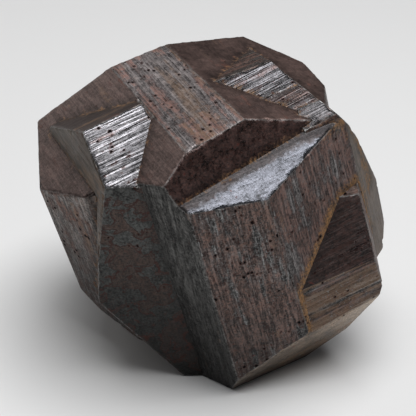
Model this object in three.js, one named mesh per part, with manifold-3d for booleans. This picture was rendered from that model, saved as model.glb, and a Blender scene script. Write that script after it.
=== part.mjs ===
// Pyrite, an iron-cross twin: two twelve-sided pyrite crystals turned a quarter turn to each other
// and grown through one another, so petals of the second one stand out of the faces of the first.
// Every petal is a block bounded by flat crystal faces, and the blocks are grown together into
// one solid. Millimetres, Z up, the flat patch it rests on at z = 0.
//
// A face is given by the direction it looks in, along the first crystal's own three axes, and by
// its distance from the middle of the twin. The ideal faces of the first crystal look along
// (1 0 2), (2 1 0) and (0 2 1), those of the second along (0 1 2), (1 2 0) and (2 0 1); the real
// ones lie a few degrees off, so the directions carry small odd parts.

import * as THREE from 'three';
import { ConvexGeometry } from 'three/addons/geometries/ConvexGeometry.js';
import { mergeVertices } from 'three/addons/utils/BufferGeometryUtils.js';
import Module from 'manifold-3d';

const wasm = await Module();
wasm.setup();

// how the twin lies: its own axes seen from the part's frame
const RIGHT_IN_CRYSTAL = new THREE.Vector3(0.873, -0.441, -0.209);
const UP_IN_CRYSTAL = new THREE.Vector3(0.273, 0.086, 0.958);
const REST_DEPTH = 21.1; // from the middle of the twin down to the patch it rests on

const SMALLEST_GAP = 0.0005; // corners nearer than this are one corner
const SKIN_COLOUR = 0x4b423c;
const SKIN_ROUGHNESS = 0.42;
const SKIN_METALNESS = 0.55;

function face(x, y, z, distance) {
  const direction = new THREE.Vector3(x, y, z).normalize();
  return { direction, distance };
}

// the same face grown out further or less far
function shifted(original, distance) {
  return { direction: original.direction, distance };
}

// ---- faces of the first crystal
const roofLeft = face(-1, 0, 2, 30.2);
const roofMiddle = face(0, 0, 1, 30.2);
const roofRight = face(0.97, 0.02, 2, 28.5);
const notchWall = face(0.2, -2, 0.94, 29.9);
const leftCheek = face(-2, -0.92, 0, 23.9);
const leftBack = face(-2, 0.84, -0.03, 24.4);
const backSlope = face(0.16, 2, 1.12, 22.3);
const rightBack = face(2, 1, 0, 20.6);
const rightTip = face(2, -0.2, 0.2, 24.6);
const rightFront = face(2, -1, 0, 23.3);
const valleyFlank = face(-2, -1, 0.05, 21.2);
const wedgeUpper = face(-0.03, -2, 1, 25.3);
const wedgeRight = face(2, -1, 0.17, 26.9);
const prowShoulder = face(2, -1, 0.17, 28.5);
const underRight = face(1, 0, -2, 19.5);
const underBack = face(0, 2, -1, 20);

// ---- faces of the second crystal
const leftPetalTop = face(0.03, -0.91, 2, 30.5);
const leftPetalBack = face(0, 0.9, 2, 26.4);
const leftPetalSide = face(-2, 0, 0.66, 26.9);
const leftPetalFront = face(-0.91, -2, 0.07, 22.4);
const leftPetalUnder = face(-2, 0, -0.84, 22.3);
const leftPetalScar = face(-2, 0.82, 0.58, 20);
const prowTop = face(0.09, -1.07, 2, 31.7);
const prowBack = face(0, 0.68, 2, 16.8);
const prowLeft = face(-0.46, -2, 0.07, 27.1);
const prowRight = face(0.73, -2, 0.11, 27);
const prowChamfer = face(-1.3, -1.5, 0.25, 28.2);
const prowUnder = face(0, -2, -1.1, 28.8);
const shoulderStrip = face(1.53, -2, 0.13, 28.9);
const wedgeLower = face(-0.09, -2, 0.12, 27.6);
const wedgeLedge = face(0.41, -0.81, 2, 21.2);
const upperPetalTop = face(-0.13, -0.9, 2, 29);
const upperPetalBack = face(0.15, 0.82, 2, 25.4);
const upperPetalRight = face(2, 0.14, 1.09, 25.9);
const underFarRight = face(2, 0, -1, 16);

// ---- broken and rounded rims
const cheekUnder = face(-2, 0, -0.84, 25.3);
const heartUnder = face(-2, 0, -0.84, 21.3);
const keel = face(-2, 0, -1.8, 22.6);
const shoulderRim = [
  face(2, 0.66, 1.19, 20.8),
  face(2, 0.59, 1.1, 21.1),
  face(2, 0.34, 0.78, 22.5),
  face(2, -0.24, 0.05, 24.7),
];
const bulgeRim = [
  face(2, 0.12, 0.5, 23.3),
  face(2, -0.29, -0.01, 25.9),
  face(2, -0.57, -0.37, 27.8),
  face(0.66, -1.39, -2, 22.3),
];

const restPatch = {
  direction: UP_IN_CRYSTAL.clone().normalize().negate(),
  distance: REST_DEPTH,
};

// a buried end of a block, inside the rest of the body
const buried = face;

const roof = [roofLeft, roofMiddle, roofRight];
const back = [leftBack, backSlope, rightBack];
const underside = [underRight, underFarRight, underBack, keel, restPatch];

const BLOCKS = {
  // the left half of the first crystal, down to the rough left cheek
  cheek: [
    ...roof,
    ...back,
    ...underside,
    leftCheek,
    cheekUnder,
    buried(-1, -2, 0, 18.5),
    buried(0, -1, 0, 13),
    buried(1, -2, 0, 12),
    buried(2, -1, 0, 12),
  ],
  // the heart of the first crystal, with the dark wall of the notch in front
  heart: [
    ...roof,
    ...back,
    ...underside,
    rightTip,
    rightFront,
    notchWall,
    valleyFlank,
    heartUnder,
    buried(-0.46, -2, 0.07, 26.8),
    buried(0.73, -2, 0.11, 25.5),
    buried(0, -2, -1.1, 26),
  ],
  // the petal at the upper left, and the same petal below its broken side
  leftPetal: [
    leftPetalTop,
    leftPetalBack,
    leftPetalSide,
    leftPetalFront,
    buried(1, 0, 0, -7.5),
    buried(0, 1, 0, 9),
    buried(-0.6, 0, -1, -9.9),
  ],
  leftPetalFoot: [
    leftPetalTop,
    leftPetalBack,
    leftPetalSide,
    leftPetalFront,
    leftPetalUnder,
    leftPetalScar,
    buried(1, 0, 0, -7.5),
    buried(0, 1, 0, 0),
    restPatch,
  ],
  // the big prow in front, with its bright top, its two tall faces and the rounded right shoulder
  prow: [
    prowTop,
    prowBack,
    prowChamfer,
    prowLeft,
    prowRight,
    prowUnder,
    valleyFlank,
    shoulderStrip,
    ...shoulderRim,
    roofRight,
    underRight,
    underFarRight,
    restPatch,
    prowShoulder,
    buried(0, 1, 0, 0),
    buried(-1, 0, 0, 14),
  ],
  // the lower half of the right shoulder, which swells out further than the prow above it
  shoulderBulge: [
    shoulderStrip,
    prowTop,
    prowRight,
    roofRight,
    shoulderRim[0],
    shoulderRim[1],
    shoulderRim[2],
    ...bulgeRim,
    shifted(underFarRight, 22.3),
    rightBack,
    underRight,
    buried(-1, 0, 0, -10),
    buried(0, 1, 0, 6),
  ],
  // the striped wedge that stands out of the right side of the prow
  wedge: [
    wedgeUpper,
    wedgeLower,
    wedgeRight,
    wedgeLedge,
    prowUnder,
    shifted(underRight, 20),
    shifted(underFarRight, 17.2),
    restPatch,
    buried(-1, 0, 0, -1.5),
    buried(0, 1, 0, -20.9),
  ],
  // the petal at the upper right, stepping up towards the front in two growth steps
  upperPetal: [
    upperPetalTop,
    upperPetalBack,
    upperPetalRight,
    notchWall,
    backSlope,
    rightBack,
    rightTip,
    underFarRight,
    shifted(rightFront, 26.5),
    buried(-1, 0, 0, 4),
    buried(-0.46, -2, 0.07, 26.8),
    buried(0.73, -2, 0.11, 25.5),
    buried(0, 0, -1, -10),
  ],
  upperPetalStep: [
    shifted(upperPetalTop, 29.4),
    face(0.34, 2, 1.87, 10.9),
    upperPetalRight,
    notchWall,
    rightBack,
    rightTip,
    shifted(rightFront, 26.5),
    buried(-1, 0, 0, 4),
    buried(-0.46, -2, 0.07, 26.8),
    buried(0.73, -2, 0.11, 25.5),
    buried(0, 0, -1, -10),
  ],
  upperPetalTip: [
    shifted(upperPetalTop, 30.3),
    face(0.35, 2, 1.87, 7.1),
    face(-2, 0.67, -0.2, -19.8),
    face(-0.04, -2, 0.4, 25),
    upperPetalRight,
    rightTip,
    prowRight,
    shoulderStrip,
    shifted(rightFront, 26.5),
    buried(0, 0, -1, -12),
  ],
  // petals of the second crystal on the far side: one across the back, one across the right
  backPetal: [
    face(1, 2, 0, 21.8),
    face(-1, 2, 0, 22.1),
    face(0.05, 1, 2, 23.6),
    face(0, 1, -1.9, 15.5),
    face(-2, 0.1, 1, 18.5),
    face(2, 0, 1.1, 17.6),
    face(-2, 0, -1, 16.5),
    face(2, 0, -1, 15.2),
    buried(0, -1, 0, 0),
  ],
  rightPetal: [
    face(2, 0, 1, 20.9),
    face(2, 0.05, -1, 19.8),
    face(1, 2, 0, 19.6),
    face(0.9, -2, 0, 11),
    face(0, 1, 2, 13.5),
    face(0, 0.9, -2, 11),
    buried(-1, 0, 0, -6),
  ],
};

// where three faces meet, or nothing if they have no common corner
function cornerOf(first, second, third) {
  const acrossSecondThird = new THREE.Vector3().crossVectors(second.direction, third.direction);
  const acrossThirdFirst = new THREE.Vector3().crossVectors(third.direction, first.direction);
  const acrossFirstSecond = new THREE.Vector3().crossVectors(first.direction, second.direction);
  const spread = first.direction.dot(acrossSecondThird);
  if (Math.abs(spread) < 1e-6) {
    return null;
  }
  return acrossSecondThird
    .multiplyScalar(first.distance)
    .addScaledVector(acrossThirdFirst, second.distance)
    .addScaledVector(acrossFirstSecond, third.distance)
    .divideScalar(spread);
}

function isInside(point, faces) {
  return faces.every(({ direction, distance }) => point.dot(direction) < distance + SMALLEST_GAP);
}

function cornersOf(faces) {
  const corners = [];
  for (let i = 0; i < faces.length; i += 1) {
    for (let j = i + 1; j < faces.length; j += 1) {
      for (let k = j + 1; k < faces.length; k += 1) {
        const corner = cornerOf(faces[i], faces[j], faces[k]);
        if (corner === null || !isInside(corner, faces)) {
          continue;
        }
        if (corners.every((other) => other.distanceTo(corner) > SMALLEST_GAP)) {
          corners.push(corner);
        }
      }
    }
  }
  return corners;
}

function toSolid(geometry) {
  const bare = geometry.clone();
  bare.deleteAttribute('normal');
  bare.deleteAttribute('uv');
  const welded = mergeVertices(bare, SMALLEST_GAP);
  const vertProperties = new Float32Array(welded.attributes.position.array);
  const triVerts = new Uint32Array(welded.index.array);
  return new wasm.Manifold(new wasm.Mesh({ numProp: 3, vertProperties, triVerts }));
}

function toGeometry(solid) {
  const { vertProperties, triVerts, numProp } = solid.getMesh();
  if (numProp !== 3) {
    throw new Error('the solid carries more than positions');
  }
  const geometry = new THREE.BufferGeometry();
  geometry.setAttribute('position', new THREE.BufferAttribute(vertProperties, 3));
  geometry.setIndex(new THREE.BufferAttribute(triVerts, 1));
  return geometry;
}

// the crystal's own axes turned into the part's frame: right along X, up along Z
function restingPose() {
  const up = UP_IN_CRYSTAL.clone().normalize();
  const away = new THREE.Vector3().crossVectors(up, RIGHT_IN_CRYSTAL).normalize();
  const right = new THREE.Vector3().crossVectors(away, up);
  const turn = new THREE.Matrix4().makeBasis(right, away, up).transpose();
  return new THREE.Matrix4().makeTranslation(0, 0, REST_DEPTH).multiply(turn);
}

// the middle of the footprint goes to the origin
function centred(geometry) {
  geometry.computeBoundingBox();
  const middle = geometry.boundingBox.getCenter(new THREE.Vector3());
  geometry.translate(-middle.x, -middle.y, 0);
  return geometry;
}

let twin = null;
for (const faces of Object.values(BLOCKS)) {
  const block = toSolid(new ConvexGeometry(cornersOf(faces)));
  twin = twin === null ? block : twin.add(block);
}

const skin = new THREE.MeshStandardMaterial({
  color: SKIN_COLOUR,
  roughness: SKIN_ROUGHNESS,
  metalness: SKIN_METALNESS,
});

const geometry = centred(toGeometry(twin).applyMatrix4(restingPose()));
const crystal = new THREE.Mesh(geometry, skin);
crystal.name = 'pyrite_crystal';

const part = new THREE.Group();
part.name = 'pyrite_iron_cross_twin';
part.add(crystal);

export default part;
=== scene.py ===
import math

import bmesh
import bpy
import numpy as np
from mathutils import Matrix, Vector
from mathutils.geometry import delaunay_2d_cdt


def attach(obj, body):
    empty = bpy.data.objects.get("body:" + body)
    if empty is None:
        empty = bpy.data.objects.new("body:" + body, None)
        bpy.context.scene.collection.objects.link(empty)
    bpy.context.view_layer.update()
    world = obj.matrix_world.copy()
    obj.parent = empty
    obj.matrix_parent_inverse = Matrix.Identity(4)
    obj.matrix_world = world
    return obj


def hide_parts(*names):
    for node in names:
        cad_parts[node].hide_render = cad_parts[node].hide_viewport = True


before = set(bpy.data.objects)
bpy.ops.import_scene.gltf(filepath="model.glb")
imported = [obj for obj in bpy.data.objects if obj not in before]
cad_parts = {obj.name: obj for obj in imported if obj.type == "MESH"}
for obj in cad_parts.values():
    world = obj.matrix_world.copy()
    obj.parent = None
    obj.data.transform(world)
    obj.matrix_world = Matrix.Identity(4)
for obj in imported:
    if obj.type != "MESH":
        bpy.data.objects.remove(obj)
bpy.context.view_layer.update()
mm = 0.001

# the twin's own three axes, seen in the part's frame
crystalAxes = {
    "x": Vector((0.873, 0.405, 0.273)),
    "y": Vector((-0.441, 0.893, 0.086)),
    "z": Vector((-0.209, -0.195, 0.958)),
}

crystal = {
    # the fine mesh
    "stripSpacing": 0.28,     # points across the stripes, mm
    "strandSpacing": 0.60,    # points along the stripes, mm
    "rimSpacing": 0.34,       # points along each rim, mm
    "rimLine": 0.26,          # from a rim to the line of points beside it, mm
    "rimClearance": 0.14,     # free strip between the grid and a rim or its line, mm
    "lineSlack": 0.02,        # how much nearer to a rim its line may come, mm
    "shortestRim": 1.2,       # a shorter rim gets no line beside it, mm
    "mergeGap": 0.02,         # corners of the solid that are nearer than this are one, mm
    "seamGap": 0.003,         # and so are points of the fine mesh, mm
    # edges, by how many degrees they turn
    "flatBend": 0.4,          # below this the faces on both sides are one flat face
    "rimBend": 25.0,          # an edge that turns outward by more is a rim
    "valleyBend": 8.0,        # an edge that turns inward by more is a valley
    "smoothBend": 22.0,       # an edge of the fine mesh that turns by less is shaded smooth
    # the relief
    "stripeWidth": 0.6,       # mean width of a growth step, mm
    "stripeLength": 16.0,     # how far a step runs before it changes, mm
    "stripeDepth": 0.36,      # mm
    "stepLevels": 8.0,        # how many heights the steps have
    "swayDepth": 0.12,        # slow unevenness of a whole face, mm
    "holeSpacing": 2.1,       # the wider pits, mm
    "holeSize": 0.38,         # mm
    "holeDepth": 0.45,        # mm
    "holeShare": 0.6,         # a face's pits times this is the share of cells that hold a hole
    "pitSpacing": 0.66,       # the fine pits, mm
    "pitSize": 0.17,          # mm
    "biteDepth": 0.32,        # how deep the rare bites in a rim go, mm
    "biteWidth": 0.6,         # mm
    "chipDepth": 0.16,        # how far a rim is worn back, mm
    "chipWidth": 0.24,        # mm
    "stripeBorder": 0.8,      # stripes fade out this near to a border, mm
    "swayBorder": 3.0,        # and the unevenness this near, mm
    "floorBorder": 0.6,       # both are gone where the crystal rests, up to this height, mm
    "seed": 7.0,
    "faceShift": (23.0, 61.0, 91.0),  # gives each face its own part of every pattern
}

# What each face looks like. "looks" is its direction along the twin's own axes and "at" its
# distance from the middle in mm. "tone" is its colour in thousandths of white, "shine" its
# roughness, "stretch" how short its stripes break off and "lift" how bright its rust is. The
# others say how much of something it carries. A face that isn't listed takes the plain look.
plainLook = {
    "tone": (156, 130, 118), "stripes": 0.6, "stretch": 1.0, "pits": 0.12, "shine": 0.48,
    "rust": 0.48, "lift": 1.0, "patchy": 0.0, "tan": 0.3, "ochre": 0.3, "film": 0.0,
    "mottle": 0.7,
}
faceLooks = {
    "roofLeft": {
        "looks": (-1, 0, 2), "at": 30.2, "tone": (124, 85, 76), "stripes": 0.35, "pits": 0.04,
        "rust": 0.25, "tan": 0.3, "mottle": 0.5,
    },
    "roofMiddle": {
        "looks": (0, 0, 1), "at": 30.2, "axis": "y", "tone": (284, 250, 246), "stripes": 0.9,
        "stretch": 0.6, "pits": 0.16, "rust": 0.42, "lift": 0.82, "tan": 0.75, "mottle": 0.6,
    },
    "roofRight": {
        "looks": (0.97, 0.02, 2), "at": 28.5, "tone": (140, 91, 79), "stripes": 0.3, "pits": 0.03,
        "rust": 0.25, "tan": 0.3, "mottle": 0.35,
    },
    "notchWall": {
        "looks": (0.2, -2, 0.94), "at": 29.9, "tone": (62, 51, 51), "stripes": 0.15, "pits": 0.0,
        "shine": 0.3, "rust": 0.8, "lift": 1.3, "tan": 0.0, "ochre": 0.4, "mottle": 1.1,
    },
    "leftCheek": {
        "looks": (-2, -0.92, 0), "at": 23.9, "tone": (182, 156, 144), "stripes": 0.7, "pits": 0.2,
        "rust": 0.45, "tan": 0.5, "ochre": 0.45, "mottle": 1.0,
    },
    "valleyFlank": {
        "looks": (-2, -1, 0.05), "at": 21.2, "tone": (72, 71, 68), "stripes": 0.9, "pits": 0.0,
        "rust": 0.1, "tan": 0.15, "ochre": -0.6, "mottle": 1.2,
    },
    "wedgeUpper": {
        "looks": (-0.03, -2, 1), "at": 25.3, "tone": (55, 45, 45), "stripes": 0.9, "stretch": 0.5,
        "pits": 0.05, "shine": 0.36, "rust": 0.7, "tan": 0.1, "ochre": -0.3, "mottle": 0.8,
    },
    "wedgeLower": {
        "looks": (-0.09, -2, 0.12), "at": 27.6, "tone": (140, 134, 132), "stripes": 1.2,
        "stretch": 0.35, "pits": 0.12, "rust": 0.45, "tan": 1.2, "mottle": 0.9,
    },
    "leftPetalTop": {
        "looks": (0.03, -0.91, 2), "at": 30.5, "tone": (150, 144, 152), "stripes": 1.2,
        "stretch": 0.3, "pits": 0.14, "shine": 0.33, "rust": 0.2, "tan": 0.1, "ochre": 0.1,
        "mottle": 0.6,
    },
    "leftPetalBack": {
        "looks": (0, 0.9, 2), "at": 26.4, "tone": (84, 64, 58), "stripes": 0.3, "pits": 0.03,
        "rust": 0.25, "tan": 0.6, "ochre": 0.5, "mottle": 0.2,
    },
    "leftPetalSide": {
        "looks": (-2, 0, 0.66), "at": 26.9, "tone": (80, 62, 48), "stripes": 0.3, "pits": 0.02,
        "rust": 0.3, "tan": 0.7, "ochre": 0.5, "mottle": 0.3,
    },
    "leftPetalFront": {
        "looks": (-0.91, -2, 0.07), "at": 22.4, "tone": (58, 60, 58), "stripes": 0.2,
        "pits": 0.08, "rust": 0.42, "lift": 1.6, "patchy": 1.0, "tan": 0.1, "ochre": -0.6,
        "mottle": 1.1,
    },
    "prowTop": {
        "looks": (0.09, -1.07, 2), "at": 31.7, "tone": (77, 79, 91), "stripes": 0.35,
        "pits": 0.02, "shine": 0.32, "rust": 0.1, "tan": 0.0, "ochre": 0.1, "film": 1.0,
        "mottle": 0.8,
    },
    "prowLeft": {
        "looks": (-0.46, -2, 0.07), "at": 27.1, "tone": (150, 148, 146), "stripes": 0.95,
        "pits": 0.14, "rust": 0.55, "lift": 1.15, "tan": 0.2, "mottle": 1.1,
    },
    "prowRight": {
        "looks": (0.73, -2, 0.11), "at": 27.0, "tone": (158, 146, 144), "stripes": 0.85,
        "pits": 0.12, "rust": 0.58, "lift": 1.1, "tan": 0.3, "ochre": 1.0, "mottle": 0.8,
    },
    "prowUnder": {
        "looks": (0, -2, -1.1), "at": 28.8, "tone": (370, 292, 226), "stripes": 0.15,
        "pits": 0.08, "rust": 0.3, "tan": 0.5, "mottle": 0.8,
    },
    "shoulderStrip": {
        "looks": (1.53, -2, 0.13), "at": 28.9, "tone": (132, 106, 88), "stripes": 0.3,
        "pits": 0.02, "rust": 0.2, "tan": 0.3, "ochre": 0.7, "mottle": 0.3,
    },
    "upperPetalTop": {
        "looks": (-0.13, -0.9, 2), "at": 29.0, "tone": (88, 84, 89), "stripes": 1.3,
        "stretch": 0.35, "pits": 0.1, "shine": 0.36, "rust": 0.35, "tan": 0.3,
    },
    "upperPetalStep": {
        "looks": (-0.13, -0.9, 2), "at": 29.4, "tone": (84, 79, 83), "stripes": 1.3,
        "stretch": 0.35, "pits": 0.1, "shine": 0.36, "rust": 0.35, "tan": 0.3,
    },
    "upperPetalTip": {
        "looks": (-0.13, -0.9, 2), "at": 30.3, "tone": (82, 77, 80), "stripes": 0.8,
        "stretch": 0.35, "pits": 0.06, "shine": 0.36, "rust": 0.3, "tan": 0.3,
    },
}


class Wire:
    # one socket of a node tree: arithmetic on it adds Math nodes, and node() adds any other
    def __init__(self, tree, socket=None):
        self.tree = tree
        self.socket = socket

    def node(self, kind, output, settings=None, inputs=None):
        made = self.tree.nodes.new(kind)
        for name, value in (settings or {}).items():
            setattr(made, name, value)
        for name, value in (inputs or {}).items():
            socket = findSocket(made.inputs, name)
            if isinstance(value, Wire):
                self.tree.links.new(value.socket, socket)
            else:
                socket.default_value = value
        return Wire(self.tree, findSocket(made.outputs, output))

    def beside(self, output):
        # another output of the same node
        return Wire(self.tree, findSocket(self.socket.node.outputs, output))

    def maths(self, operation, *values):
        return self.node("ShaderNodeMath", 0, {"operation": operation}, dict(enumerate(values)))

    def vector(self, operation, *values, output=0):
        settings = {"operation": operation}
        return self.node("ShaderNodeVectorMath", output, settings, dict(enumerate(values)))

    def scaled(self, factor):
        inputs = {"Vector": self, "Scale": factor}
        return self.node("ShaderNodeVectorMath", 0, {"operation": "SCALE"}, inputs)

    def dot(self, other):
        return self.vector("DOT_PRODUCT", self, other, output="Value")

    def ramp(self, low, high, bottom=0.0, top=1.0):
        # a soft rise from bottom to top while this value goes from low to high
        inputs = {"Value": self, "From Min": low, "From Max": high, "To Min": bottom, "To Max": top}
        return self.node("ShaderNodeMapRange", "Result", {"interpolation_type": "SMOOTHSTEP"}, inputs)

    def __add__(self, other):
        return self.maths("ADD", self, other)

    def __radd__(self, other):
        return self.maths("ADD", other, self)

    def __sub__(self, other):
        return self.maths("SUBTRACT", self, other)

    def __rsub__(self, other):
        return self.maths("SUBTRACT", other, self)

    def __mul__(self, other):
        return self.maths("MULTIPLY", self, other)

    def __rmul__(self, other):
        return self.maths("MULTIPLY", other, self)

    def __truediv__(self, other):
        return self.maths("DIVIDE", self, other)


def findSocket(sockets, name):
    if isinstance(name, int):
        return sockets[name]
    for socket in sockets:
        if socket.identifier == name:
            return socket
    return sockets[name]


def inFrame(direction):
    # a direction along the twin's axes, turned into the part's frame
    turned = Vector((0, 0, 0))
    for amount, axis in zip(direction, crystalAxes.values()):
        turned += axis * amount
    return turned.normalized()


def findMiddle(node):
    # the twin's middle lies a known distance behind each of these three flat faces
    straightOn = math.radians(0.5)
    directions, heights = [], []
    for name in ("roofMiddle", "prowLeft", "prowRight"):
        direction = inFrame(faceLooks[name]["looks"])
        facing = [one for one in node.data.polygons if one.normal.angle(direction) < straightOn]
        corners = [node.data.vertices[i].co for one in facing for i in one.vertices]
        directions.append(direction)
        heights.append(max(corner.dot(direction) for corner in corners) - faceLooks[name]["at"] * mm)
    return Vector(np.linalg.solve(np.array(directions), np.array(heights)))


def lookOf(normal, point):
    # the listed look whose direction and distance fit this flat face, or the plain one
    reach = (point - twinMiddle).dot(normal) / mm
    best, bestMiss = {}, 1.5      # degrees
    degreesPerMm = 4
    for look in faceLooks.values():
        turn = math.degrees(normal.angle(inFrame(look["looks"])))
        miss = turn + abs(reach - look["at"]) * degreesPerMm
        if miss < bestMiss:
            best, bestMiss = look, miss
    return {**plainLook, **best}


def stripeAxis(normal, look):
    # the stripes run along the twin's axis that the face leans towards least
    if "axis" in look:
        return crystalAxes[look["axis"]]
    return min(crystalAxes.values(), key=lambda axis: abs(normal.dot(axis)))


def borderPoints(edge):
    # evenly spaced points between the ends of an edge, shared by the faces on both sides
    start, end = (vert.co for vert in edge.verts)
    parts = max(1, round((end - start).length / (crystal["rimSpacing"] * mm)))
    return [start.lerp(end, i / parts) for i in range(1, parts)]


def measured(points, corners):
    # which of these flat points lie inside the outline, and how far each is from each side of it
    spans = np.roll(corners, -1, axis=0) - corners
    offsets = points[:, None] - corners[None]
    shares = np.clip((offsets * spans).sum(2) / (spans ** 2).sum(1), 0, 1)
    gaps = np.linalg.norm(offsets - shares[:, :, None] * spans, axis=2)
    rises = spans[:, 1] + 1e-12      # never quite 0
    above = offsets[:, :, 1] < 0
    leftOf = offsets[:, :, 0] < offsets[:, :, 1] / rises * spans[:, 0]
    crossed = (above != np.roll(above, -1, axis=1)) & leftOf
    return crossed.sum(1) % 2 == 1, gaps


def innerPoints(corners, isRidge):
    # the flat points that fill an outline: a grid along the stripes and a line beside each rim
    strip, strand, line = crystal["stripSpacing"], crystal["strandSpacing"], crystal["rimLine"]
    clearance = crystal["rimClearance"]
    low, high = corners.min(0), corners.max(0)
    columns = np.arange(math.ceil(low[0] / strand), math.floor(high[0] / strand) + 1) * strand
    rows = np.arange(math.ceil(low[1] / strip), math.floor(high[1] / strip) + 1) * strip
    grid = np.array(np.meshgrid(columns, rows)).reshape(2, -1).T
    inside, gaps = measured(grid, corners)
    clear = np.where(isRidge, line + clearance, clearance)
    kept = [grid[inside & (gaps > clear).all(1)]]
    for i in np.flatnonzero(isRidge):
        start, end = corners[i], corners[(i + 1) % len(corners)]
        span = end - start
        length = np.linalg.norm(span)
        count = max(2, round(length / crystal["rimSpacing"]))
        shares = (np.arange(count) + 0.5)[:, None] / count
        beside = start + span * shares + np.array([-span[1], span[0]]) / length * line
        inside, gaps = measured(beside, corners)
        kept.append(beside[inside & (gaps > line - crystal["lineSlack"]).all(1)])
    return np.concatenate(kept)


def cellsOf(facet, rim, corners, isRidge):
    # one flat face, given by the points around its rim, filled with small triangles
    def flattened(points):
        return np.array([(point.dot(facet["along"]), point.dot(facet["across"])) for point in points]) / mm

    inner = innerPoints(flattened(corners), np.array(isRidge))
    sides = [(i, (i + 1) % len(rim)) for i in range(len(rim))]
    spots = [Vector(spot) for spot in np.concatenate([flattened(rim), inner])]
    spots, _, cells, origins, _, _ = delaunay_2d_cdt(spots, sides, [], 1, 0.0001)
    height = sum(point.dot(facet["outward"]) for point in corners) / len(corners)
    points = []
    for spot, origin in zip(spots, origins):
        onRim = [i for i in origin if i < len(rim)]
        flat = facet["along"] * (spot.x * mm) + facet["across"] * (spot.y * mm) + facet["outward"] * height
        points.append(rim[onRim[0]] if onRim else flat)
    return points, cells


def wireObject(name, edges):
    # the given edges as a bare wire, for measuring how far a point is from them
    corners = [vert.co for edge in edges for vert in edge.verts]
    mesh = bpy.data.meshes.new(name)
    mesh.from_pydata(corners, [(i, i + 1) for i in range(0, len(corners), 2)], [])
    wire = bpy.data.objects.new(name, mesh)
    bpy.context.scene.collection.objects.link(wire)
    return wire


def facetedCopy(node):
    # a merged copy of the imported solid: one polygon for each flat face
    mesh = bmesh.new()
    mesh.from_mesh(node.data)
    mergeGap, flatBend = crystal["mergeGap"] * mm, math.radians(crystal["flatBend"])
    bmesh.ops.remove_doubles(mesh, verts=mesh.verts, dist=mergeGap)
    bmesh.ops.dissolve_degenerate(mesh, edges=mesh.edges, dist=mergeGap)
    bmesh.ops.dissolve_limit(mesh, angle_limit=flatBend, verts=mesh.verts, edges=mesh.edges)
    mesh.faces.ensure_lookup_table()
    return mesh


def growCrystal(node):
    flat = facetedCopy(node)
    print("flat faces", len(flat.faces))
    rimBend, valleyBend = math.radians(crystal["rimBend"]), math.radians(crystal["valleyBend"])
    ridges = [edge for edge in flat.edges if edge.calc_face_angle_signed(0) > rimBend]
    valleys = [edge for edge in flat.edges if edge.calc_face_angle_signed(0) < -valleyBend]
    wires = wireObject("ridgeLines", ridges), wireObject("valleyLines", valleys)

    facetLayer = flat.faces.layers.int.new("facet")
    facets = []
    for one in flat.faces:
        look = lookOf(one.normal, one.verts[0].co)
        along = stripeAxis(one.normal, look)
        along = (along - one.normal * along.dot(one.normal)).normalized()
        one[facetLayer] = len(facets)
        facets.append({
            "look": look, "outward": one.normal.copy(), "along": along, "across": one.normal.cross(along),
        })
    borders = {edge: borderPoints(edge) for edge in flat.edges}

    mesh = bmesh.new()
    cellLayer = mesh.faces.layers.int.new("facet")
    longRidges = {edge for edge in ridges if edge.calc_length() > crystal["shortestRim"] * mm}
    for one, facet in zip(flat.faces, facets):
        rim = []
        for loop in one.loops:
            points = borders[loop.edge]
            forward = loop.edge.verts[0] == loop.vert
            rim += [loop.vert.co.copy()] + (points if forward else points[::-1])
        corners = [loop.vert.co for loop in one.loops]
        points, cells = cellsOf(facet, rim, corners, [loop.edge in longRidges for loop in one.loops])
        corners = [mesh.verts.new(point) for point in points]
        for cell in cells:
            mesh.faces.new([corners[i] for i in cell])[cellLayer] = one[facetLayer]
    flat.free()
    bmesh.ops.remove_doubles(mesh, verts=mesh.verts, dist=crystal["seamGap"] * mm)
    print("open edges", sum(not edge.is_manifold for edge in mesh.edges))
    for edge in mesh.edges:
        edge.smooth = edge.calc_face_angle(0) < math.radians(crystal["smoothBend"])
    for one in mesh.faces:
        one.smooth = True

    body = bpy.data.meshes.new("crystalBody")
    mesh.to_mesh(body)
    mesh.free()
    numbers = np.empty(len(body.polygons), int)
    body.attributes["facet"].data.foreach_get("value", numbers)
    for name in ("outward", "along", "across"):
        values = np.array([facet[name] for facet in facets])[numbers]
        body.attributes.new(name, "FLOAT_VECTOR", "FACE").data.foreach_set("vector", values.ravel())
    for name in [name for name in plainLook if name != "tone"]:
        values = np.array([facet["look"][name] for facet in facets], float)[numbers]
        body.attributes.new(name, "FLOAT", "FACE").data.foreach_set("value", values)
    tones = np.array([(*facet["look"]["tone"], 1000) for facet in facets])[numbers] / 1000
    body.attributes.new("tone", "FLOAT_COLOR", "FACE").data.foreach_set("color", tones.ravel())
    grown = bpy.data.objects.new("crystalGrowth", body)
    bpy.context.scene.collection.objects.link(grown)
    print("mesh cells", len(body.polygons))
    return grown, wires


def named(start, name, kind="FLOAT"):
    settings = {"data_type": kind}
    return start.node("GeometryNodeInputNamedAttribute", "Attribute", settings, {"Name": name})


def noise(start, place, scale, detail=3.0, output=0, **more):
    inputs = {"Vector": place, "Scale": scale, "Detail": detail, **more}
    return start.node("ShaderNodeTexNoise", output, None, inputs)


def combined(start, x, y, z):
    return start.node("ShaderNodeCombineXYZ", "Vector", None, {"X": x, "Y": y, "Z": z})


def pitField(start, across, along, layer, place, amount, spacing, size):
    # how far inside the rim of the nearest pit a place is, in mm; the amount is the share of the
    # cells that hold a pit, and each cell's own random number makes some pits wider than others
    wobble = noise(start, place, 0.5 / size, 2.0)
    spot = combined(start, across + wobble * (size * 3), along * 0.8 + wobble * (size * 2), layer)
    gap = start.node("ShaderNodeTexVoronoi", "Distance", None, {
        "Vector": spot, "Scale": 1.0 / spacing, "Randomness": 1.0})
    chance = gap.beside("Color").dot((1.0, 0.0, 0.0))
    width = chance.maths("MINIMUM", (chance + amount - 1.0) * 6.0, 1.3) * size
    return width - gap * spacing


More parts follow.
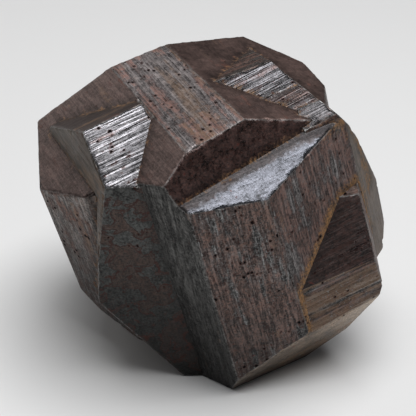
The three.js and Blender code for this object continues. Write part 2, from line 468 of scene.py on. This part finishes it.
def reliefTree(wires, skin):
    tree = bpy.data.node_groups.new("growthRelief", "GeometryNodeTree")
    sockets = tree.interface
    sockets.new_socket("Geometry", in_out="INPUT", socket_type="NodeSocketGeometry")
    sockets.new_socket("Geometry", in_out="OUTPUT", socket_type="NodeSocketGeometry")
    names = ("stripeWidth", "stripeLength", "stripeDepth", "swayDepth", "holeDepth", "chipDepth",
             "biteDepth", "seed")      # the tree's own inputs, set in applyRelief
    for name in names:
        sockets.new_socket(name, in_out="INPUT", socket_type="NodeSocketFloat")
    start = Wire(tree)
    given = start.node("NodeGroupInput", "Geometry")
    size = {name: given.beside(name) for name in names}

    def gapTo(wireThing):
        lines = start.node("GeometryNodeObjectInfo", "Geometry", None, {"Object": wireThing})
        settings = {"target_element": "EDGES"}
        return start.node("GeometryNodeProximity", "Distance", settings, {0: lines}) * 1000.0

    def stored(shape, name, value, kind="FLOAT"):
        settings = {"data_type": kind, "domain": "POINT"}
        inputs = {"Geometry": shape, "Name": name, "Value": value}
        return start.node("GeometryNodeStoreNamedAttribute", "Geometry", settings, inputs)

    restPlace = start.node("GeometryNodeInputPosition", "Position").scaled(1000.0)
    shape = stored(given, "restPlace", restPlace, "FLOAT_VECTOR")
    shape = stored(shape, "ridgeGap", gapTo(wires[0]))
    shape = stored(shape, "valleyGap", gapTo(wires[1]))

    place = named(start, "restPlace", "FLOAT_VECTOR")
    outward = named(start, "outward", "FLOAT_VECTOR")
    across = place.dot(named(start, "across", "FLOAT_VECTOR"))
    along = place.dot(named(start, "along", "FLOAT_VECTOR"))
    drawn = along * named(start, "stretch")
    layer = place.dot(outward) + outward.dot(crystal["faceShift"])
    ridgeGap = named(start, "ridgeGap")
    borderGap = ridgeGap.maths("MINIMUM", ridgeGap, named(start, "valleyGap"))

    # growth steps: half flat treads and half slopes
    stripePlace = combined(start, across / size["stripeWidth"], drawn / size["stripeLength"],
                           layer + size["seed"])
    steps = noise(start, stripePlace, 1.0, 3.0)
    levels = steps * crystal["stepLevels"]
    treads = levels.maths("ROUND", levels) / crystal["stepLevels"]
    inner = borderGap.ramp(0.0, crystal["stripeBorder"])
    stripeCut = (treads * 0.5 + steps * 0.5 - 0.5) * size["stripeDepth"] * named(start, "stripes") * inner
    sway = noise(start, place, 0.13, 2.0) - 0.5
    swayCut = sway * size["swayDepth"] * borderGap.ramp(0.0, crystal["swayBorder"])

    holes = pitField(start, across, along, layer, place, named(start, "pits") * crystal["holeShare"],
                     crystal["holeSpacing"], crystal["holeSize"])
    pitCut = holes.ramp(-0.1, 0.4) * size["holeDepth"]

    # every rim is worn a little, and here and there a bite is gone from it
    crumble = noise(start, place, 0.55, 2.0).ramp(0.35, 0.72, 0.3, 1.8)
    chipCut = ridgeGap.ramp(0.0, crystal["chipWidth"], 1.0, 0.0) * size["chipDepth"] * crumble
    bite = noise(start, place, 0.42, 3.0).ramp(0.56, 0.70) * crystal["biteWidth"]
    chipCut = chipCut + (bite - ridgeGap).ramp(0.0, crystal["biteWidth"]) * size["biteDepth"]

    # the resting patch stays flat on the floor
    offFloor = place.dot((0.0, 0.0, 1.0)).ramp(0.0, crystal["floorBorder"])
    push = outward.scaled(((stripeCut + swayCut) * offFloor + pitCut) * -0.001)
    settings = {"data_type": "FLOAT_VECTOR", "domain": "CORNER"}
    cornerPush = start.node("GeometryNodeFieldOnDomain", 0, settings, {0: push})
    rimPush = start.node("GeometryNodeInputNormal", 0).scaled(chipCut * -0.001)
    cornerPush = cornerPush.vector("ADD", cornerPush, rimPush)
    inputs = {"Geometry": shape, "Offset": cornerPush}
    shape = start.node("GeometryNodeSetPosition", "Geometry", None, inputs)
    shape = start.node("GeometryNodeRealizeInstances", "Geometry", None, {"Geometry": shape})
    shape = start.node("GeometryNodeSetMaterial", "Geometry", None, {"Geometry": shape, "Material": skin})
    end = tree.nodes.new("NodeGroupOutput")
    tree.links.new(shape.socket, end.inputs[0])
    return tree


def applyRelief(grown, tree, name):
    modifier = grown.modifiers.new("growth", "NODES")
    modifier.node_group = tree
    for item in tree.interface.items_tree:
        if item.in_out == "INPUT" and item.name in crystal:
            modifier[item.identifier] = crystal[item.name]
    bpy.context.view_layer.update()
    view = bpy.context.evaluated_depsgraph_get()
    mesh = bpy.data.meshes.new_from_object(
        grown.evaluated_get(view), preserve_all_data_layers=True, depsgraph=view)
    mesh.name = name
    piece = bpy.data.objects.new(name, mesh)
    bpy.context.scene.collection.objects.link(piece)
    bpy.data.objects.remove(grown)
    return piece


skin = {
    "rustTint": (0.70, 0.40, 0.32),       # what rust does to a face's own tone
    "filmTint": (0.50, 0.40, 0.34),       # brown film beside a valley
    "rimRustTone": (0.040, 0.012, 0.008),  # around pits and along the rims of rust
    "redTone": (0.120, 0.018, 0.010),     # rare red dots
    "ochreTone": (0.250, 0.122, 0.034),   # loose earth in the valleys
    "tanTone": (0.190, 0.106, 0.052),     # tan streaks
    "paleWearAndGlintTone": (0.200, 0.196, 0.190),    # worn rims that are partly a painted glint, and painted glints on pitted faces
    "pitShadowTone": (0.003, 0.002, 0.002),     # painted shadow at the bottom of a pit
    "paintedFootShade": 0.29,        # painted shade: how much of the tone is left low down on the left, where the crystal is in shade
    "paintedCreviceShade": 0.60,     # painted shade: and how much is left beside a valley
    "leastShade": 0.1,        # and how much is always left
    "metalShare": 0.78,       # how metallic clean skin is
    "stripeHeight": 0.10,     # fine stripes that are too narrow for the mesh, mm
    "grainHeight": 0.05,      # mm
    # patterns drawn out along the stripes: how many to a mm across them and along them
    "broadStripe": (0.33, 0.09),
    "tanStripe": (0.62, 0.05),
    "streak": (1.0, 0.10),
    "thread": (2.3, 0.17),
    "fineStripe": (4.6, 0.7),
    # patterns that are the same every way: how many to a mm
    "cloud": 0.17,
    "patch": 0.26,
    "mottle": 0.8,
    "redDot": 1.6,
    "grain": 2.8,
    "paintedGlint": 3.1,
    "speck": 3.6,
}


def blended(amount, first, second):
    settings = {"data_type": "RGBA", "blend_type": "MIX"}
    return amount.node("ShaderNodeMix", "Result_Color", settings, {
        "Factor_Float": amount, "A_Color": first, "B_Color": second})


def skinMaterial():
    material = bpy.data.materials.new("brownSkin")
    material.use_nodes = True
    tree = material.node_tree
    tree.nodes.clear()
    start = Wire(tree)

    def attribute(name, output="Fac"):
        return start.node("ShaderNodeAttribute", output, {"attribute_name": name})

    place = attribute("restPlace", "Vector")
    across = place.dot(attribute("across", "Vector"))
    along = place.dot(attribute("along", "Vector"))
    drawn = along * attribute("stretch")
    outward = attribute("outward", "Vector")
    layer = place.dot(outward) + outward.dot(crystal["faceShift"])
    stripes, rustiness, ochreness = attribute("stripes"), attribute("rust"), attribute("ochre")
    mottled, patchy = attribute("mottle"), attribute("patchy")
    ridgeGap, valleyGap = attribute("ridgeGap"), attribute("valleyGap")

    def stripePattern(name, shift, detail, **more):
        acrossScale, alongScale = skin[name]
        spot = combined(start, across * acrossScale, drawn * alongScale, layer + shift)
        return noise(start, spot, 1.0, detail, **more)

    broad = stripePattern("broadStripe", 60.0, 3.0, Distortion=0.5)
    streak = stripePattern("streak", 0.0, 4.0)
    thread = stripePattern("thread", 9.0, 3.0)
    fine = stripePattern("fineStripe", 0.0, 2.0)
    mottle = noise(start, place, skin["mottle"], 6.0, Roughness=0.62)
    grain = noise(start, place, skin["grain"], 4.0, Roughness=0.6)
    cloud = noise(start, place, skin["cloud"], 3.0)

    # fine stripes, and thin dark grooves where one tread meets the next
    lines = streak * 0.22 + thread * 0.46 + fine * 0.32
    lines = lines.ramp(0.42, 0.58, -1.0, 1.0) * (stripes * 0.9 + 0.1)
    groove = thread.maths("ABSOLUTE", thread - 0.5).ramp(0.0, 0.035, 1.0, 0.0) * stripes * stripes
    unevenness = grain.ramp(0.3, 0.7, -0.48, 0.48) + mottle.ramp(0.3, 0.7, -0.42, 0.42)
    shade = lines * 0.46 + unevenness * mottled + cloud.ramp(0.3, 0.7, -0.18, 0.18) - groove * 0.55 + 1.0
    paintedShadeHeight = place.dot((0.5, 0.0, 1.0))      # falls towards the lower left, mm; the painted shade deepens as it falls
    # painted shade: the tone darkens towards the lower left, where the crystal is in shade
    shade = shade * (paintedShadeHeight + mottle * 8.0).ramp(6.0, 34.0, skin["paintedFootShade"], 1.0)
    # painted shade: the tone darkens beside a valley, where shade falls in the crease
    shade = shade * (valleyGap + mottle * 1.6 - 0.8).ramp(0.0, 2.4, skin["paintedCreviceShade"], 1.0)
    tone = attribute("tone", "Vector").scaled(shade.maths("MAXIMUM", shade, skin["leastShade"]))

    # rust in patches drawn out along the stripes, each with a darker red rim; on a patchy face
    # the patches are rounder and the rim is crisper
    rustLevel = (rustiness - 0.5) * 0.34
    rustField = broad * 0.25 + streak * 0.35 + mottle * 0.2 + cloud * 0.2 + rustLevel
    patch = noise(start, place, skin["patch"], 3.0, Roughness=0.5, Distortion=0.6)
    patchField = patch * 0.8 + cloud * 0.2 + rustLevel
    rustField = rustField + (patchField - rustField) * patchy
    rust = rustField.ramp(0.475, 0.535) * grain.ramp(0.3, 0.7, 0.7, 1.0)
    rusty = tone.vector("MULTIPLY", tone, skin["rustTint"]).scaled(attribute("lift"))
    tone = blended(rust * 0.95, tone, rusty)
    rustRim = rustField.maths("ABSOLUTE", rustField - 0.49).ramp(0.0, 0.022, 1.0, 0.0)
    tone = blended(rustRim * (rustiness + patchy * 0.4) * 1.1, tone, (*skin["rimRustTone"], 1.0))

    tanStreak = stripePattern("tanStripe", 40.0, 3.0)
    tan = (tanStreak * 0.8 + mottle * 0.3 + attribute("tan") * 0.25 - 0.74).ramp(0.0, 0.14)
    tone = blended(tan * 0.55, tone, (*skin["tanTone"], 1.0))
    film = (attribute("film") * 1.2 - valleyGap * 0.62 + (mottle - 0.5) * 1.6).ramp(0.0, 0.5)
    tone = blended(film * 0.9, tone, tone.vector("MULTIPLY", tone, skin["filmTint"]))

    # ochre in the valleys, and rare red dots
    speckle = mottle * 0.7 + grain * 0.5 + streak * 0.4 - 0.8
    ochre = (speckle * 2.2 + ochreness * 0.9 - valleyGap * 0.38 - 0.08).ramp(0.0, 0.8)
    ochreShade = lines * 0.25 + grain.ramp(0.3, 0.7, 0.45, 1.45)
    earthy = ochreShade.node("ShaderNodeVectorMath", 0, {"operation": "SCALE"},
                             {"Vector": skin["ochreTone"], "Scale": ochreShade})
    tone = blended(ochre * 0.75, tone, earthy)
    speck = noise(start, place, skin["speck"], 2.0).ramp(0.60, 0.68) * rustiness * mottled
    tone = blended(speck * 1.3, tone, (*skin["rimRustTone"], 1.0))
    redDot = noise(start, place, skin["redDot"], 2.0).ramp(0.68, 0.73) * rustiness
    tone = blended(redDot * 0.7, tone, (*skin["redTone"], 1.0))

    # pale where a rim is worn, partly a painted glint along it, and painted glints on the pitted faces
    rim = (grain * 1.6 - 0.4 - ridgeGap * 1.8).ramp(0.0, 0.4) * cloud.ramp(0.40, 0.56, 0.18, 0.62)
    paintedGlint = noise(start, place, skin["paintedGlint"], 2.0).ramp(0.62, 0.68) * cloud.ramp(0.42, 0.58) * stripes
    paintedGlint = paintedGlint * attribute("pits").ramp(0.06, 0.13)
    rim = rim.maths("MAXIMUM", rim, paintedGlint * 0.8)
    # partly painted highlight: the pale worn rims also stand for glints, and the sparks are painted glints
    tone = blended(rim, tone, (*skin["paleWearAndGlintTone"], 1.0))

    # pits with a dark red halo
    pits = attribute("pits")
    inPit = pitField(start, across, along, layer, place, pits * cloud.ramp(0.35, 0.65, 0.3, 2.2),
                     crystal["pitSpacing"], crystal["pitSize"])
    inHole = pitField(start, across, along, layer, place, pits * crystal["holeShare"],
                      crystal["holeSpacing"], crystal["holeSize"])
    deep = inPit.maths("MAXIMUM", inPit, inHole)
    halo = (deep + (grain - 0.5) * 0.4).ramp(-0.22, 0.0) * 0.8
    tone = blended(halo, tone, (*skin["rimRustTone"], 1.0))
    hollow = deep.ramp(-0.02, 0.05)
    # painted shadow: the inside of each pit is painted near black
    tone = blended(hollow, tone, (*skin["pitShadowTone"], 1.0))

    rough = attribute("shine") + (cloud - 0.5) * 0.2 + (mottle - 0.5) * mottled * 0.6 - lines * 0.06
    rough = rough + rust * 0.10 + ochre * 0.2 + film * 0.12 + hollow * 0.4
    relief = (fine * 0.4 + thread) * stripes * skin["stripeHeight"] + grain * mottled * skin["grainHeight"]
    relief = relief + mottle * mottled * 0.20 - groove * 0.03 + rust * 0.015 - hollow * 0.15
    metal = (1.0 - ochre) * (1.0 - rust * 0.35) * (1.0 - tan * 0.4) * skin["metalShare"]
    metal = metal.maths("MAXIMUM", metal, halo)
    bump = start.node("ShaderNodeBump", "Normal", None, {
        "Height": relief, "Distance": mm, "Strength": 1.0})
    shader = start.node("ShaderNodeBsdfPrincipled", "BSDF", None, {
        "Base Color": tone, "Roughness": rough.ramp(0.0, 1.0, 0.0, 1.0), "IOR": 1.6, "Normal": bump,
        "Metallic": metal})
    end = tree.nodes.new("ShaderNodeOutputMaterial")
    tree.links.new(shader.socket, end.inputs["Surface"])
    return material


def buildCrystal():
    grown, wires = growCrystal(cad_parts["pyrite_crystal"])
    piece = applyRelief(grown, reliefTree(wires, skinMaterial()), "crystal")
    for wire in wires:
        bpy.data.objects.remove(wire)
    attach(piece, "root")
    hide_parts("pyrite_crystal")
    print("crystal ready", len(piece.data.polygons))


studio = {
    "floorTone": (0.80, 0.79, 0.78),
    "roomTone": (0.60, 0.62, 0.65),
    "roomStrength": 0.10,
    "floorReach": 3.0,        # m
    "lampAim": (0, 0, 0.03),  # m
    # name: place in m, size in m, power in W, colour
    "lights": {
        "top": ((0.07, -0.06, 0.55), 0.42, 3.5, (0.97, 0.985, 1.0)),
        "backLeft": ((-0.50, 0.40, 0.32), 0.50, 0.8, (1.0, 0.99, 0.97)),
    },
}


def plainMaterial(name, tone, rough):
    material = bpy.data.materials.new(name)
    material.use_nodes = True
    shader = material.node_tree.nodes["Principled BSDF"]
    shader.inputs["Base Color"].default_value = (*tone, 1.0)
    shader.inputs["Roughness"].default_value = rough
    return material


def buildStudio():
    mesh = bpy.data.meshes.new("floor")
    side = studio["floorReach"]
    corners = [(-side, -side, 0), (side, -side, 0), (side, side, 0), (-side, side, 0)]
    mesh.from_pydata(corners, [], [(0, 1, 2, 3)])
    floor = bpy.data.objects.new("floor", mesh)
    bpy.context.scene.collection.objects.link(floor)
    mesh.materials.append(plainMaterial("paleFloor", studio["floorTone"], 0.9))
    world = bpy.data.worlds.new("room")
    bpy.context.scene.world = world
    world.use_nodes = True
    room = world.node_tree.nodes["Background"]
    room.inputs["Color"].default_value = (*studio["roomTone"], 1.0)
    room.inputs["Strength"].default_value = studio["roomStrength"]
    for name, (place, size, power, tone) in studio["lights"].items():
        light = bpy.data.lights.new(name, "AREA")
        light.size = size
        light.energy = power
        light.color = tone
        lamp = bpy.data.objects.new(name, light)
        lamp.location = place
        aim = Vector(studio["lampAim"]) - Vector(place)
        lamp.rotation_euler = aim.to_track_quat("-Z", "Y").to_euler()
        bpy.context.scene.collection.objects.link(lamp)
    print("studio ready")


camera = {
    "lens": 108.7,            # mm
    "sensor": 36.0,           # mm
    "shift": (-0.0096, 0.0096),  # shares of the picture's width
    "tilt": 60.0,             # degrees, 0 looks straight down
    "distance": 0.22,         # from the twin's middle, m
    "nearest": 0.01,          # m
}


def setCamera():
    lens = bpy.data.cameras.new("viewer")
    lens.lens = camera["lens"]
    lens.sensor_width = camera["sensor"]
    lens.shift_x, lens.shift_y = camera["shift"]
    lens.clip_start = camera["nearest"]
    viewer = bpy.data.objects.new("viewer", lens)
    tilt = math.radians(camera["tilt"])
    viewer.rotation_euler = (tilt, 0, 0)
    viewer.location = twinMiddle + Vector((0, -math.sin(tilt), math.cos(tilt))) * camera["distance"]
    bpy.context.scene.collection.objects.link(viewer)
    bpy.context.scene.camera = viewer
    bpy.context.scene.view_settings.view_transform = "Standard"
    print("camera ready")


twinMiddle = findMiddle(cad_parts["pyrite_crystal"])
print("twin's middle", [round(value / mm, 2) for value in twinMiddle])
setCamera()
buildStudio()
buildCrystal()
